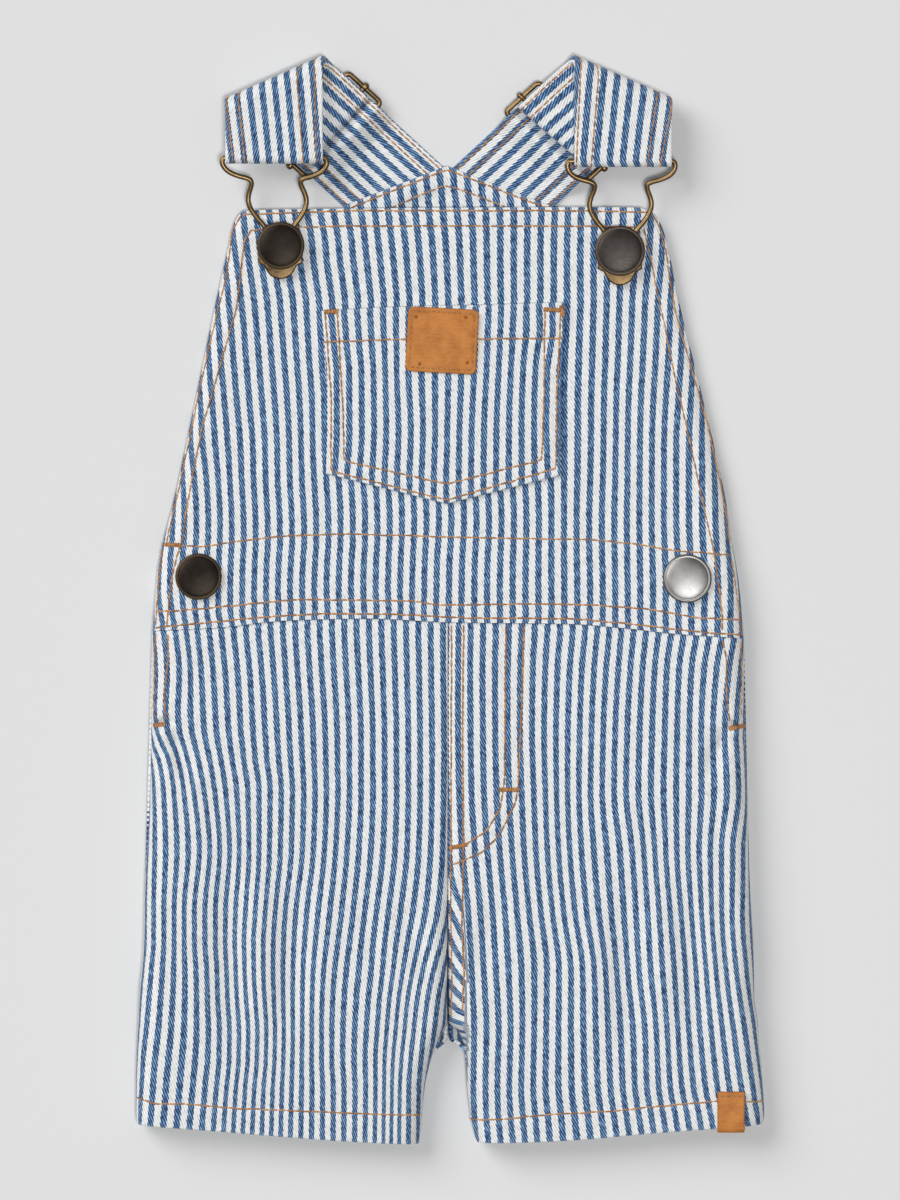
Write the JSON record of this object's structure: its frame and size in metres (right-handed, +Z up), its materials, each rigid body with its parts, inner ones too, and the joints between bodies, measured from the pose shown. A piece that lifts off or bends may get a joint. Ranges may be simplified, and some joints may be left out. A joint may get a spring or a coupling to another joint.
{
  "type": "shortalls",
  "caption": "Baby's striped bib shorts laid flat, with straps folded to the front through sliders and wire clips, a pointed chest pocket and a leather patch.",
  "frame": {"origin": "on the floor below the middle of the garment's box, where its back lies", "axes": "+X to the wearer's left, +Y from the hems to the straps, +Z up out of the front"},
  "size_m": [0.2326, 0.4031, 0.0151],
  "materials": {
    "striped_denim": "blue and white striped twill",
    "leather": "smooth vegetable-tanned leather",
    "aged_brass": "aged, half matt",
    "dark_metal": "dark antique, half matt",
    "pale_metal": "half matt"
  },
  "bodies": {
    "root": {"back_bib": "striped_denim", "back_leg_left": "striped_denim", "back_leg_right": "striped_denim", "bib_button_left": "dark_metal", "bib_button_right": "dark_metal", "chest_pocket": "striped_denim", "clip_left": "aged_brass", "clip_right": "aged_brass", "front_bib": "striped_denim", "front_leg_left": "striped_denim", "front_leg_right": "striped_denim", "hem_tab": "leather", "pocket_patch": "leather", "slider_left": "aged_brass", "slider_right": "aged_brass", "strap_left": "striped_denim", "strap_right": "striped_denim", "waist_button_left": "pale_metal", "waist_button_right": "dark_metal"}
  },
  "joints": []
}
